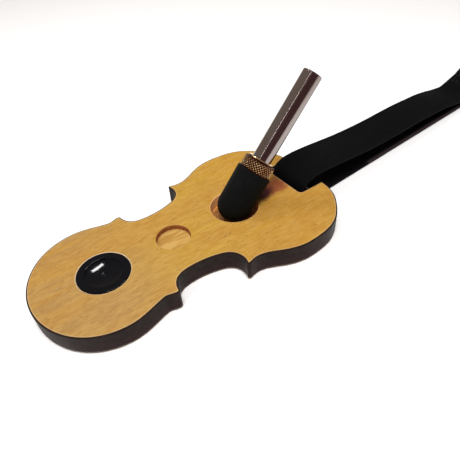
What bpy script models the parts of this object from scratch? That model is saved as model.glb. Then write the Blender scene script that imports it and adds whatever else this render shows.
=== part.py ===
"""Cello endpin rest in the outline of a cello, with a chair strap and an endpin standing in it.

Metres, +Z up.  The origin is on the underside of the rubber sole at the middle of the board.
+X runs along the board towards its notch and out along the strap.
"""
import math

import bmesh
import bpy
from mathutils import Matrix, Vector
from mathutils.geometry import intersect_point_line

COLLECTION = "cello_endpin_rest"
CLEARANCE = 0.0003

# Board: half outline of its upper face as (x, y, heading in, heading out), headings in degrees.
# Each span is one cubic Bezier curve, and equal headings make a smooth joint.
HALF_OUTLINE = [
    (-0.0788, 0.0000, 90, 90),
    (-0.0704, 0.0233, 50, 50),
    (-0.0478, 0.0341, 2, 2),
    (-0.0299, 0.0303, -14, -14),
    (-0.0242, 0.0313, 7, 7),
    (-0.0224, 0.0304, -83, -83),
    (-0.0185, 0.0236, -29, -29),
    (-0.0091, 0.0221, 0, 0),
    (0.0040, 0.0245, 18, 18),
    (0.0098, 0.0302, 74, 74),
    (0.0095, 0.0361, 113, 81),
    (0.0107, 0.0371, -14, -14),
    (0.0159, 0.0361, 3, 3),
    (0.0265, 0.0400, 28, 28),
    (0.0432, 0.0441, -3, -3),
    (0.0606, 0.0403, -30, -30),
    (0.0715, 0.0302, -51, -51),
    (0.0772, 0.0146, -88, -88),
]
SPAN_STEPS = 5
HANDLE_REACH = 0.347
SOLE_THICKNESS = 0.0012
SOLE_INSET = 0.0012
BOARD_THICKNESS = 0.010
BOARD_EDGE_RADIUS = 0.0005
BOARD_BOTTOM = SOLE_THICKNESS
BOARD_TOP = BOARD_BOTTOM + BOARD_THICKNESS
NOTCH_WALL_X = 0.0619
NOTCH_HALF_WIDTH = 0.0135
NOTCH_CORNER_RADIUS = 0.0018
NOTCH_MOUTH_X = 0.0772

# Three seats along the middle line of the board.
CUP_X = -0.0448
CUP_RADIUS = 0.0125
CUP_DEPTH = 0.0075
CUP_PROUD = 0.0002
CUP_EDGE_ROUND = 0.0006
BOWL_RADIUS = 0.0090
BOWL_WALL_RADIUS = 0.0085
BOWL_WALL_DEPTH = 0.0007
BOWL_DEPTH = 0.0018
BOWL_LIP = 0.0002
DISH_STEPS = 5
DIMPLE_RADIUS = 0.0008
DIMPLE_DEPTH = 0.0005
SMALL_SEAT_X = -0.0082
SMALL_SEAT_RADIUS = 0.00845
SMALL_SEAT_DEPTH = 0.0030
LARGE_SEAT_X = 0.0284
LARGE_SEAT_RADIUS = 0.0125
LARGE_SEAT_DEPTH = 0.0070
SEAT_RIM_ROUND = 0.0004

# Steel cross pin in the notch, laid in a slot milled across the underside.
PIN_RADIUS = 0.0025
PIN_X = 0.0700
PIN_Z = 0.0048
PIN_HALF_LENGTH = 0.0220

# Strap: 25 mm webbing, drawn in its own plane as (s, z), with s measured from the pin.
STRAP_HEADING = math.radians(3.2)
WEB_WIDTH = 0.025
WEB_THICKNESS = 0.0016
PLY_1_Z = CLEARANCE + WEB_THICKNESS / 2
PLY_PITCH = WEB_THICKNESS + CLEARANCE
PIN_LOOP_END = 0.050
SLIDER_S = 0.1960
SLIDER_BAR_PITCH = 0.0095
SLIDER_BAR_RADIUS = 0.0015
SLIDER_BAR_INSET = 0.00003
SLIDER_OUTER_BAR_Z = 0.0019
SLIDER_MIDDLE_BAR_Z = 0.0058
SLIDER_RAIL_WIDTH = 0.0030
SLIDER_RAIL_THICKNESS = 0.0030
SLIDER_RAIL_GAP = 0.0004
SLIDER_RAIL_OVERHANG = 0.0010
RUNNING_START = SLIDER_S - 0.0200
RUNNING_END = SLIDER_S + 0.0180
TAIL_END = RUNNING_END + 0.0300
EYE_SEAM_END = TAIL_END + 0.0180
EYE_END = EYE_SEAM_END + 0.0520
EYE_HEIGHT = 0.0210

# Endpin, drawn upright from its tilt centre and then leant over towards the strap.
TILT_CENTRE = (0.0276, -0.0016, 0.0133)
ENDPIN_ELEVATION = math.radians(47.9)
ROD_RADIUS = 0.0050
ROD_START = 0.0030
ROD_END = 0.0735
ROD_CHAMFER = 0.0006
BOOT_BASE_RADIUS = 0.0089
BOOT_TOP_RADIUS = 0.0091
BOOT_TOP = 0.0197
BOOT_BASE_ROUND = 0.0086
BOOT_LIP_ROUND = 0.0006
COLLAR_RADIUS = 0.0083
COLLAR_LIP_RADIUS = 0.0066
COLLAR_HEIGHT = 0.0056
COLLAR_LIP_HEIGHT = 0.0011
COLLAR_SPIGOT_RADIUS = 0.0067
COLLAR_SPIGOT_LENGTH = 0.0060
SPIKE_SHANK_RADIUS = 0.0020
SPIKE_SHANK_LENGTH = 0.0100
SPIKE_RADIUS = 0.0034
SPIKE_HEAD_LENGTH = 0.0010
SPIKE_TIP_RADIUS = 0.0004
SPIKE_POINT = -0.0026

# Colour, roughness and metallic value of each material.
MATERIALS = {
    "beech": ((0.560, 0.300, 0.090), 0.42, 0.0),
    "sole_rubber": ((0.020, 0.020, 0.020), 0.85, 0.0),
    "cup_black": ((0.012, 0.012, 0.016), 0.12, 0.0),
    "pin_steel": ((0.060, 0.058, 0.056), 0.40, 1.0),
    "webbing": ((0.008, 0.008, 0.009), 0.80, 0.0),
    "slider_nylon": ((0.012, 0.012, 0.012), 0.35, 0.0),
    "rod_steel": ((0.620, 0.580, 0.570), 0.15, 1.0),
    "spike_steel": ((0.350, 0.350, 0.360), 0.35, 1.0),
    "collar_brass": ((0.700, 0.400, 0.170), 0.25, 1.0),
    "boot_rubber": ((0.010, 0.010, 0.010), 0.60, 0.0),
}


def clear_scene():
    for old in list(bpy.data.objects):
        bpy.data.objects.remove(old, do_unlink=True)


def make_collection(name):
    collection = bpy.data.collections.new(name)
    bpy.context.scene.collection.children.link(collection)
    return collection


def make_material(name):
    colour, roughness, metallic = MATERIALS[name]
    material = bpy.data.materials.new(name)
    material.use_nodes = True
    shader = material.node_tree.nodes["Principled BSDF"]
    shader.inputs["Base Color"].default_value = (*colour, 1.0)
    shader.inputs["Roughness"].default_value = roughness
    shader.inputs["Metallic"].default_value = metallic
    material.diffuse_color = (*colour, 1.0)
    return material


clear_scene()
PARTS = make_collection(COLLECTION)
TOOLS = make_collection("cutters")
PALETTE = {name: make_material(name) for name in MATERIALS}


def add_part(name, mesh, material, parent=None):
    """Put a finished mesh in the model as one named sub-part."""
    part = bpy.data.objects.new(name, mesh)
    PARTS.objects.link(part)
    mesh.materials.clear()
    mesh.materials.append(PALETTE[material])
    part.parent = parent
    return part


def add_empty(name, location, rotation=(0.0, 0.0, 0.0), parent=None):
    empty = bpy.data.objects.new(name, None)
    PARTS.objects.link(empty)
    empty.empty_display_size = 0.01
    empty.location = location
    empty.rotation_euler = rotation
    empty.parent = parent
    return empty


def as_cutter(cutter):
    for owner in list(cutter.users_collection):
        owner.objects.unlink(cutter)
    TOOLS.objects.link(cutter)
    cutter.hide_render = True
    cutter.display_type = "WIRE"
    return cutter


def combine(part, other, operation):
    modifier = part.modifiers.new(operation.lower(), "BOOLEAN")
    modifier.operation = operation
    modifier.solver = "EXACT"
    modifier.object = as_cutter(other)


def smooth_by_angle(mesh, degrees=35.0):
    mesh.shade_smooth()
    mesh.set_sharp_from_angle(angle=math.radians(degrees))


def bezier_span(start, end):
    """Points of one span of the outline, its end point left out."""
    first = Vector(start[:2])
    last = Vector(end[:2])
    reach = (last - first).length * HANDLE_REACH
    leave = math.radians(start[3])
    arrive = math.radians(end[2])
    handle_1 = first + reach * Vector((math.cos(leave), math.sin(leave)))
    handle_2 = last - reach * Vector((math.cos(arrive), math.sin(arrive)))
    points = []
    for step in range(SPAN_STEPS):
        t = step / SPAN_STEPS
        u = 1.0 - t
        near_start = u**3 * first + 3 * u * u * t * handle_1
        near_end = 3 * u * t * t * handle_2 + t**3 * last
        points.append(near_start + near_end)
    return points


def board_outline():
    """Closed outline, anticlockwise, with the notch cut into the wide end."""
    half = []
    for start, end in zip(HALF_OUTLINE, HALF_OUTLINE[1:]):
        half.extend(bezier_span(start, end))
    half.append(Vector((NOTCH_MOUTH_X, NOTCH_HALF_WIDTH)))
    corner = (NOTCH_WALL_X + NOTCH_CORNER_RADIUS, NOTCH_HALF_WIDTH - NOTCH_CORNER_RADIUS)
    half.extend(Vector(point) for point in arc(corner, NOTCH_CORNER_RADIUS, 90, 180, 4))
    mirrored = [Vector((point.x, -point.y)) for point in half[1:]]
    return mirrored + half[:0:-1] + half[:1]


def inset(points, distance):
    """Move a closed anticlockwise outline inwards, with mitred corners."""
    moved = []
    for index, point in enumerate(points):
        before = (point - points[index - 1]).normalized()
        after = (points[(index + 1) % len(points)] - point).normalized()
        inward = Vector((-before.y - after.y, before.x + after.x)).normalized()
        cosine = max(0.5, inward.dot(Vector((-after.y, after.x))))
        moved.append(point + inward * (distance / cosine))
    return moved


def gap_to_outline(outline, point):
    """Shortest distance from a point to a closed outline."""
    gaps = []
    for index, end in enumerate(outline):
        start = outline[index - 1]
        _, share = intersect_point_line(point, start, end)
        foot = start.lerp(end, min(1.0, max(0.0, share)))
        gaps.append((foot - point).length)
    return min(gaps)


def clean_inset(outline, distance):
    """Inset outline without the small knots that a tight corner leaves."""
    moved = inset(outline, distance)
    return [point for point in moved if gap_to_outline(outline, point) > 0.97 * distance]


def plate_mesh(name, outline, bottom, top, edge_radius=0.0):
    """A flat outline given thickness, with rounded upper and lower edges."""
    curve = bpy.data.curves.new(name, "CURVE")
    curve.dimensions = "2D"
    curve.fill_mode = "BOTH"
    spline = curve.splines.new("POLY")
    spline.points.add(len(outline) - 1)
    for point, place in zip(spline.points, outline):
        point.co = (place.x, place.y, 0.0, 1.0)
    spline.use_cyclic_u = True
    curve.extrude = (top - bottom) / 2 - edge_radius
    curve.bevel_depth = edge_radius
    curve.bevel_resolution = 1
    curve.offset = -edge_radius
    holder = bpy.data.objects.new(name, curve)
    bpy.context.scene.collection.objects.link(holder)
    bpy.context.view_layer.update()
    depsgraph = bpy.context.evaluated_depsgraph_get()
    mesh = bpy.data.meshes.new_from_object(holder.evaluated_get(depsgraph))
    bpy.data.objects.remove(holder, do_unlink=True)
    bpy.data.curves.remove(curve)
    edit = bmesh.new()
    edit.from_mesh(mesh)
    bmesh.ops.remove_doubles(edit, verts=edit.verts, dist=0.00002)
    bmesh.ops.translate(edit, verts=edit.verts, vec=(0.0, 0.0, (top + bottom) / 2))
    bmesh.ops.recalc_face_normals(edit, faces=edit.faces)
    edit.to_mesh(mesh)
    edit.free()
    mesh.name = name
    return mesh


def turned_mesh(name, profile, steps, closed=False):
    """Profile of (radius, height), down the outer side, turned about Z."""
    mesh = bpy.data.meshes.new(name)
    edges = [(index, index + 1) for index in range(len(profile) - 1)]
    if closed:
        edges.append((len(profile) - 1, 0))
    mesh.from_pydata([(radius, 0.0, height) for radius, height in profile], edges, [])
    holder = bpy.data.objects.new(name, mesh)
    bpy.context.scene.collection.objects.link(holder)
    screw = holder.modifiers.new("turn", "SCREW")
    screw.axis = "Z"
    screw.steps = steps
    screw.render_steps = steps
    screw.use_merge_vertices = True
    screw.merge_threshold = 0.00001
    bpy.context.view_layer.update()
    depsgraph = bpy.context.evaluated_depsgraph_get()
    solid = bpy.data.meshes.new_from_object(holder.evaluated_get(depsgraph))
    bpy.data.objects.remove(holder, do_unlink=True)
    solid.name = name
    smooth_by_angle(solid)
    return solid


def arc(centre, radius, start, end, steps):
    """Points of a circular arc about a centre in its plane, angles in degrees."""
    points = []
    for step in range(steps + 1):
        angle = math.radians(start + (end - start) * step / steps)
        points.append((centre[0] + radius * math.cos(angle), centre[1] + radius * math.sin(angle)))
    return points


def smooth_path(points, spacing):
    """Catmull-Rom curve through hand-set (s, z) points, sampled about evenly."""
    knots = [Vector(point) for point in points]
    padded = [2 * knots[0] - knots[1]] + knots + [2 * knots[-1] - knots[-2]]
    path = []
    for p0, p1, p2, p3 in zip(padded, padded[1:], padded[2:], padded[3:]):
        chord = (p2 - p1).length
        tangent_1 = (p2 - p0) * (chord / ((p1 - p0).length + chord))
        tangent_2 = (p3 - p1) * (chord / ((p3 - p2).length + chord))
        count = max(1, round(chord / spacing))
        for step in range(count):
            t = step / count
            h1 = 2 * t**3 - 3 * t * t + 1
            h2 = t**3 - 2 * t * t + t
            h3 = -2 * t**3 + 3 * t * t
            h4 = t**3 - t * t
            path.append(h1 * p1 + h2 * tangent_1 + h3 * p2 + h4 * tangent_2)
    path.append(knots[-1])
    return path


def ribbon_mesh(name, path, width, thickness, centre_y=0.0):
    """A strip of even thickness that follows a path in the XZ plane."""
    mesh = bpy.data.meshes.new(name)
    half = width / 2
    verts = []
    for point in path:
        verts.append((point[0], centre_y - half, point[1]))
        verts.append((point[0], centre_y + half, point[1]))
    faces = [(2 * i, 2 * i + 2, 2 * i + 3, 2 * i + 1) for i in range(len(path) - 1)]
    mesh.from_pydata(verts, [], faces)
    holder = bpy.data.objects.new(name, mesh)
    bpy.context.scene.collection.objects.link(holder)
    solidify = holder.modifiers.new("thickness", "SOLIDIFY")
    solidify.thickness = thickness
    solidify.offset = 0.0
    solidify.use_even_offset = True
    bpy.context.view_layer.update()
    depsgraph = bpy.context.evaluated_depsgraph_get()
    solid = bpy.data.meshes.new_from_object(holder.evaluated_get(depsgraph))
    bpy.data.objects.remove(holder, do_unlink=True)
    solid.name = name
    smooth_by_angle(solid)
    return solid


def cylinder_mesh(name, radius, length, centre, segments):
    """A plain cylinder along Y."""
    edit = bmesh.new()
    bmesh.ops.create_cone(edit, cap_ends=True, segments=segments,
                          radius1=radius, radius2=radius, depth=length)
    turn = Matrix.Rotation(math.pi / 2, 4, "X")
    bmesh.ops.transform(edit, matrix=Matrix.Translation(centre) @ turn, verts=edit.verts)
    mesh = bpy.data.meshes.new(name)
    edit.to_mesh(mesh)
    edit.free()
    smooth_by_angle(mesh)
    return mesh


def box_mesh(name, low, high):
    edit = bmesh.new()
    bmesh.ops.create_cube(edit, size=1.0)
    size = Vector(high) - Vector(low)
    middle = (Vector(high) + Vector(low)) / 2
    bmesh.ops.scale(edit, vec=size, verts=edit.verts)
    bmesh.ops.translate(edit, vec=middle, verts=edit.verts)
    mesh = bpy.data.meshes.new(name)
    edit.to_mesh(mesh)
    edit.free()
    return mesh


def seat_cutter(name, centre_x, radius, depth):
    """A round pocket whose upper rim is eased by a small round."""
    floor = BOARD_TOP - depth
    rim = arc((radius + SEAT_RIM_ROUND, BOARD_TOP - SEAT_RIM_ROUND), SEAT_RIM_ROUND, 90, 180, 3)
    above = BOARD_TOP + 0.004
    profile = [(0.0, above), (radius + SEAT_RIM_ROUND, above)] + rim
    profile += [(radius, floor), (0.0, floor)]
    cutter = add_part(name, turned_mesh(name, profile, 48), "beech")
    cutter.location.x = centre_x
    return cutter


def make_board():
    mesh = plate_mesh("board", board_outline(), BOARD_BOTTOM, BOARD_TOP, BOARD_EDGE_RADIUS)
    smooth_by_angle(mesh)
    board = add_part("board", mesh, "beech")
    cup_bore = CUP_RADIUS + CLEARANCE
    combine(board, seat_cutter("cut_cup", CUP_X, cup_bore, CUP_DEPTH + CLEARANCE), "DIFFERENCE")
    small = seat_cutter("cut_small", SMALL_SEAT_X, SMALL_SEAT_RADIUS, SMALL_SEAT_DEPTH)
    combine(board, small, "DIFFERENCE")
    large = seat_cutter("cut_large", LARGE_SEAT_X, LARGE_SEAT_RADIUS, LARGE_SEAT_DEPTH)
    combine(board, large, "DIFFERENCE")
    bore = PIN_RADIUS + CLEARANCE
    reach = PIN_HALF_LENGTH + CLEARANCE
    low = (PIN_X - bore, -reach, BOARD_BOTTOM - 0.002)
    slot = box_mesh("cut_pin", low, (PIN_X + bore, reach, PIN_Z))
    combine(board, add_part("cut_pin", slot, "beech"), "DIFFERENCE")
    crown = cylinder_mesh("cut_crown", bore, 2 * reach, (PIN_X, 0.0, PIN_Z), 32)
    combine(board, add_part("cut_crown", crown, "beech"), "DIFFERENCE")


def make_sole():
    outline = clean_inset(board_outline(), SOLE_INSET)
    mesh = plate_mesh("rubber_sole", outline, 0.0, SOLE_THICKNESS - CLEARANCE)
    add_part("rubber_sole", mesh, "sole_rubber")


def bowl_curve(top):
    """Inner side of the cup: middle dimple, shallow dish, short steep wall, eased lip."""
    points = [(0.0, top - BOWL_DEPTH - DIMPLE_DEPTH)]
    rise = BOWL_DEPTH - BOWL_WALL_DEPTH
    for step in range(DISH_STEPS + 1):
        radius = DIMPLE_RADIUS + (BOWL_WALL_RADIUS - DIMPLE_RADIUS) * step / DISH_STEPS
        points.append((radius, top - BOWL_DEPTH + rise * (radius / BOWL_WALL_RADIUS) ** 2))
    return points + [(BOWL_RADIUS - BOWL_LIP, top - BOWL_LIP), (BOWL_RADIUS, top)]


def make_cup():
    top = CUP_DEPTH + CUP_PROUD
    edge = arc((CUP_RADIUS - CUP_EDGE_ROUND, top - CUP_EDGE_ROUND), CUP_EDGE_ROUND, 90, 0, 3)
    profile = bowl_curve(top) + edge + [(CUP_RADIUS, 0.0), (0.0, 0.0)]
    cup = add_part("cup_insert", turned_mesh("cup_insert", profile, 44), "cup_black")
    cup.location = (CUP_X, 0.0, BOARD_TOP - CUP_DEPTH)


def make_pin():
    mesh = cylinder_mesh("strap_pin", PIN_RADIUS, 2 * PIN_HALF_LENGTH, (0.0, 0.0, 0.0), 36)
    pin = add_part("strap_pin", mesh, "pin_steel")
    pin.location = (PIN_X, 0.0, PIN_Z)


def fold_over_bar():
    """Sewn end: back leg, then round the slider's middle bar, at the webbing's middle."""
    radius = SLIDER_BAR_RADIUS + CLEARANCE + WEB_THICKNESS / 2
    back_leg = [(-0.0235, 0.0031), (-0.0200, 0.0036), (-0.0160, 0.0049), (-0.0110, 0.0063),
                (-0.0078, 0.0063), (-0.0044, 0.0051)]
    turn = arc((0.0, SLIDER_MIDDLE_BAR_Z), radius, -110, 100, 7)
    return [(SLIDER_S + s, z) for s, z in back_leg + turn]


def upper_ply():
    """Upper ply from the fold over the slider's middle bar back to the pin."""
    behind_slider = [(-0.0100, 0.0083), (-0.0160, 0.0070), (-0.0200, 0.0060), (-0.0240, 0.0051),
                     (-0.0325, 0.0032), (-0.0400, 0.0040)]
    to_pin = [(0.1500, 0.0049), (0.1420, 0.0065), (0.1300, 0.0083), (0.1170, 0.0092),
              (0.1040, 0.0100), (0.0900, 0.0103), (0.0780, 0.0103), (0.0680, 0.0106),
              (0.0570, 0.0111), (0.0460, 0.0119), (0.0350, 0.0131), (0.0240, 0.0144),
              (0.0140, 0.0154), (0.0070, 0.0157)]
    return [(SLIDER_S + s, z) for s, z in behind_slider] + to_pin


def pin_bend():
    """Loose bend that rises in front of the pin and runs back under it."""
    return [(0.0015, 0.0152), (-0.0032, 0.0130), (-0.0055, 0.0094), (-0.0058, 0.0054),
            (-0.0040, 0.0021), (0.0010, PLY_1_Z)]


def folded_route():
    """The strap from its sewn end over the slider's bar, back round the pin and out again."""
    floor_run = [(0.0200, PLY_1_Z), (PIN_LOOP_END, PLY_1_Z), (1.6 * PIN_LOOP_END, PLY_1_Z)]
    return smooth_path(fold_over_bar() + upper_ply() + pin_bend() + floor_run, 0.0024)


def split_at(path, s_value):
    """Cut a path where it first crosses s_value, with a clearance between the two ends."""
    for index in range(len(path) - 1):
        a, b = path[index], path[index + 1]
        if (a[0] - s_value) * (b[0] - s_value) <= 0.0 and a[0] != b[0]:
            cut = a.lerp(b, (s_value - a[0]) / (b[0] - a[0]))
            step = (b - a).normalized() * (CLEARANCE / 2)
            before = [point for point in path[:index + 1] if (cut - point).length > CLEARANCE]
            after = [point for point in path[index + 1:] if (cut - point).length > CLEARANCE]
            return before + [cut - step], [cut + step] + after
    raise ValueError("the path never reaches that place")


def straight_run(start, end, steps):
    """Points along the floor between two joins, short of each by half a clearance."""
    first = start + CLEARANCE / 2
    length = end - start - CLEARANCE
    return [Vector((first + length * step / steps, PLY_1_Z)) for step in range(steps + 1)]


def add_webbing(name, path, strap):
    add_part(name, ribbon_mesh(name, path, WEB_WIDTH, WEB_THICKNESS), "webbing", strap)


def make_folded_plies(strap):
    upper, rest = split_at(folded_route(), PIN_LOOP_END)
    loop, _ = split_at(rest, PIN_LOOP_END)
    add_webbing("strap_pin_loop", loop, strap)
    add_webbing("strap_upper_ply", upper, strap)


def make_running_ply(strap):
    """Stretch that rides over both outer bars and dips under the middle one."""
    over = SLIDER_OUTER_BAR_Z + SLIDER_BAR_RADIUS + CLEARANCE + WEB_THICKNESS / 2
    near = SLIDER_S - SLIDER_BAR_PITCH
    far = SLIDER_S + SLIDER_BAR_PITCH
    route = [(RUNNING_START + CLEARANCE / 2, PLY_1_Z), (near - 0.0080, PLY_1_Z + 0.0001),
             (near - 0.0047, 0.0024), (near - 0.0016, over - 0.0001), (near + 0.0010, over),
             (near + 0.0045, 0.0024), (SLIDER_S - 0.0010, PLY_1_Z), (SLIDER_S + 0.0010, PLY_1_Z),
             (far - 0.0045, 0.0024), (far - 0.0010, over), (far + 0.0016, over - 0.0001),
             (far + 0.0047, 0.0024), (far + 0.0077, PLY_1_Z + 0.0001),
             (RUNNING_END - CLEARANCE / 2, PLY_1_Z)]
    add_webbing("strap_running_ply", smooth_path(route, 0.0016), strap)


def make_chair_eye(strap):
    """Eye for the chair's leg: out along the floor, back over the top and down to the seam."""
    second = PLY_1_Z + PLY_PITCH
    middle = (EYE_SEAM_END + EYE_END) / 2
    route = [(TAIL_END + CLEARANCE / 2, PLY_1_Z), (EYE_SEAM_END, PLY_1_Z), (middle, PLY_1_Z),
             (EYE_END - 0.0110, PLY_1_Z + 0.0002), (EYE_END - 0.0035, 0.0040), (EYE_END, 0.0100),
             (EYE_END - 0.0030, 0.0160), (EYE_END - 0.0120, EYE_HEIGHT - 0.0012),
             (middle, EYE_HEIGHT - 0.0030), (EYE_SEAM_END + 0.0100, 0.0095),
             (EYE_SEAM_END + 0.0020, second + 0.0010), (EYE_SEAM_END - 0.0030, second),
             (TAIL_END + 0.0015, second)]
    add_webbing("chair_eye", smooth_path(route, 0.0025), strap)


def rail_path():
    """Arch of a slider rail, from one outer bar up to the middle bar and down to the other."""
    ends = SLIDER_BAR_PITCH + SLIDER_RAIL_OVERHANG
    rise = SLIDER_MIDDLE_BAR_Z - SLIDER_OUTER_BAR_Z
    path = []
    for step in range(-6, 7):
        part = step / 6
        height = SLIDER_OUTER_BAR_Z + rise * (0.5 + 0.5 * math.cos(math.pi * part))
        path.append(Vector((SLIDER_S + ends * part, height)))
    return path


def slider_bar(name, offset, height, half_length):
    centre = (SLIDER_S + offset, 0.0, height)
    return cylinder_mesh(name, SLIDER_BAR_RADIUS - SLIDER_BAR_INSET, 2 * half_length, centre, 16)


def make_slider(strap):
    """Three-bar slider: arched side rails joined by two low outer bars and a raised middle bar."""
    rail_y = WEB_WIDTH / 2 + SLIDER_RAIL_GAP + SLIDER_RAIL_WIDTH / 2
    path = rail_path()
    rail = ribbon_mesh("strap_slider", path, SLIDER_RAIL_WIDTH, SLIDER_RAIL_THICKNESS, rail_y)
    slider = add_part("strap_slider", rail, "slider_nylon", strap)
    other = ribbon_mesh("rail", path, SLIDER_RAIL_WIDTH, SLIDER_RAIL_THICKNESS, -rail_y)
    combine(slider, add_part("rail", other, "slider_nylon", strap), "UNION")
    for name, offset, height in (("bar_near", -SLIDER_BAR_PITCH, SLIDER_OUTER_BAR_Z),
                                 ("bar_middle", 0.0, SLIDER_MIDDLE_BAR_Z),
                                 ("bar_far", SLIDER_BAR_PITCH, SLIDER_OUTER_BAR_Z)):
        bar = slider_bar(name, offset, height, rail_y)
        combine(slider, add_part(name, bar, "slider_nylon", strap), "UNION")


def make_strap():
    strap = add_empty("strap_frame", (PIN_X, 0.0, 0.0), (0.0, 0.0, STRAP_HEADING))
    make_folded_plies(strap)
    add_webbing("strap_lower_ply", straight_run(PIN_LOOP_END, RUNNING_START, 16), strap)
    make_running_ply(strap)
    add_webbing("strap_tail", straight_run(RUNNING_END, TAIL_END, 4), strap)
    make_chair_eye(strap)
    make_slider(strap)


def make_rod(axis):
    hole = SPIKE_SHANK_RADIUS + CLEARANCE
    hole_top = ROD_START + SPIKE_SHANK_LENGTH + CLEARANCE
    profile = [(0.0, ROD_END), (ROD_RADIUS - ROD_CHAMFER, ROD_END), (ROD_RADIUS, ROD_END - ROD_CHAMFER),
               (ROD_RADIUS, ROD_START), (hole, ROD_START), (hole, hole_top), (0.0, hole_top)]
    add_part("endpin_rod", turned_mesh("endpin_rod", profile, 36), "rod_steel", axis)


def make_spike(axis):
    shoulder = ROD_START - CLEARANCE
    shank_top = ROD_START + SPIKE_SHANK_LENGTH
    profile = [(0.0, shank_top), (SPIKE_SHANK_RADIUS, shank_top), (SPIKE_SHANK_RADIUS, shoulder),
               (SPIKE_RADIUS, shoulder), (SPIKE_RADIUS, shoulder - SPIKE_HEAD_LENGTH),
               (SPIKE_TIP_RADIUS, SPIKE_POINT), (0.0, SPIKE_POINT)]
    add_part("endpin_spike", turned_mesh("endpin_spike", profile, 20), "spike_steel", axis)


def make_boot(axis):
    """Thick rubber boot with a rounded foot, open above for the rod and the collar's spigot."""
    bore = ROD_RADIUS + CLEARANCE
    pocket = COLLAR_SPIGOT_RADIUS + CLEARANCE
    pocket_floor = BOOT_TOP - COLLAR_SPIGOT_LENGTH - CLEARANCE
    lip = arc((BOOT_TOP_RADIUS - BOOT_LIP_ROUND, BOOT_TOP - BOOT_LIP_ROUND), BOOT_LIP_ROUND, 90, 0, 3)
    foot = arc((BOOT_BASE_RADIUS - BOOT_BASE_ROUND, 0.0), BOOT_BASE_ROUND, 0, -90, 6)
    floor = ROD_START - 0.0014
    inner = [(0.0, SPIKE_POINT - 0.0005), (0.0008, SPIKE_POINT - 0.0005), (SPIKE_RADIUS + 0.0005, floor),
             (bore, floor), (bore, pocket_floor), (pocket, pocket_floor), (pocket, BOOT_TOP)]
    profile = inner + lip + foot + [(0.0, -BOOT_BASE_ROUND)]
    add_part("rubber_boot", turned_mesh("rubber_boot", profile, 40), "boot_rubber", axis)


def make_collar(axis):
    """Knurled collar: grip ring, bevelled lip above it and a spigot down inside the boot."""
    bottom = BOOT_TOP + CLEARANCE
    top = bottom + COLLAR_HEIGHT
    bore = ROD_RADIUS + CLEARANCE
    profile = [(bore, top + COLLAR_LIP_HEIGHT), (COLLAR_LIP_RADIUS, top + COLLAR_LIP_HEIGHT),
               (COLLAR_RADIUS, top), (COLLAR_RADIUS, bottom), (COLLAR_SPIGOT_RADIUS, bottom),
               (COLLAR_SPIGOT_RADIUS, BOOT_TOP - COLLAR_SPIGOT_LENGTH),
               (bore, BOOT_TOP - COLLAR_SPIGOT_LENGTH)]
    mesh = turned_mesh("knurled_collar", profile, 36, closed=True)
    add_part("knurled_collar", mesh, "collar_brass", axis)


def make_endpin():
    axis = add_empty("endpin_axis", TILT_CENTRE, (0.0, math.pi / 2 - ENDPIN_ELEVATION, 0.0))
    make_rod(axis)
    make_spike(axis)
    make_boot(axis)
    make_collar(axis)


make_board()
make_sole()
make_cup()
make_pin()
make_strap()
make_endpin()
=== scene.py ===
"""Looks of the cello endpin rest: lacquered beech board, black cup, webbing strap and booted endpin."""
import math

import bmesh
import bpy
from mathutils import Matrix, Vector
from mathutils.geometry import intersect_point_line


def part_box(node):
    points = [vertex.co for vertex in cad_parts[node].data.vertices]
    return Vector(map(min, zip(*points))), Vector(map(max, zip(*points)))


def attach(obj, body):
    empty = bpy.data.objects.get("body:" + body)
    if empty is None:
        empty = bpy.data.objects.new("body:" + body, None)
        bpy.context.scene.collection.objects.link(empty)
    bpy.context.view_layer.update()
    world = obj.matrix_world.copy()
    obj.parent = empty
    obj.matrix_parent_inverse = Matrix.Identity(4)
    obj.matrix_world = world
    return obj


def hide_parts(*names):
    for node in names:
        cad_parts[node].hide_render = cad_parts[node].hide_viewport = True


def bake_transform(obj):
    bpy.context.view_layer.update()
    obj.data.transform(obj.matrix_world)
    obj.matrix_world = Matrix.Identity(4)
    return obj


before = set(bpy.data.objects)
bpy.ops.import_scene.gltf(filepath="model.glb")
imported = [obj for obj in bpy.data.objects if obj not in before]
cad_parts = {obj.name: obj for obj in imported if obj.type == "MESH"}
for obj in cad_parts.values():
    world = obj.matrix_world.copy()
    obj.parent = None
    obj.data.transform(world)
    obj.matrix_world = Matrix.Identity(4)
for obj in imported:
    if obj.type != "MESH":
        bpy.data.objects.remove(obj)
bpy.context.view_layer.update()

# Places that repeat the model's own dimensions, in metres.
GAP = 0.0003
BOARD_LOW, BOARD_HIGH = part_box("board")
BOARD_TOP = BOARD_HIGH.z
SEATS = ((-0.0448, 0.01255), (-0.0082, 0.00845), (0.0284, 0.0125))
CUP_LOW, CUP_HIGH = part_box("cup_insert")
TILT_CENTRE = Vector((0.0276, -0.0016, 0.0133))
ENDPIN_ELEVATION = math.radians(47.9)
PIN_X = 0.07
NOTCH_HALF_WIDTH = 0.0135
STRAP_HEADING = math.radians(3.2)
WEB_WIDTH = 0.025
WEB_THICKNESS = 0.0016
PLY_1_Z = GAP + WEB_THICKNESS / 2
PLY_PITCH = WEB_THICKNESS + GAP
PIN_LOOP_END = 0.05
SLIDER_S = 0.196
SLIDER_BAR_PITCH = 0.0095
SLIDER_BAR_RADIUS = 0.0015
SLIDER_OUTER_BAR_Z = 0.0019
SLIDER_MIDDLE_BAR_Z = 0.0058
RUNNING_START = SLIDER_S - 0.02
RUNNING_END = SLIDER_S + 0.018
TAIL_END = RUNNING_END + 0.03
EYE_SEAM_END = TAIL_END + 0.018
EYE_END = EYE_SEAM_END + 0.052
EYE_HEIGHT = 0.021


# ---------------------------------------------------------------- camera, floor and light

CAMERA_PLACE = Vector((-0.06594, -0.14427, 0.15523))
CAMERA_FORWARD = Vector((0.38832, 0.61944, -0.68228))
CAMERA_UP = Vector((0.43307, 0.53086, 0.72845))
CAMERA_LENS = 33.85


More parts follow.
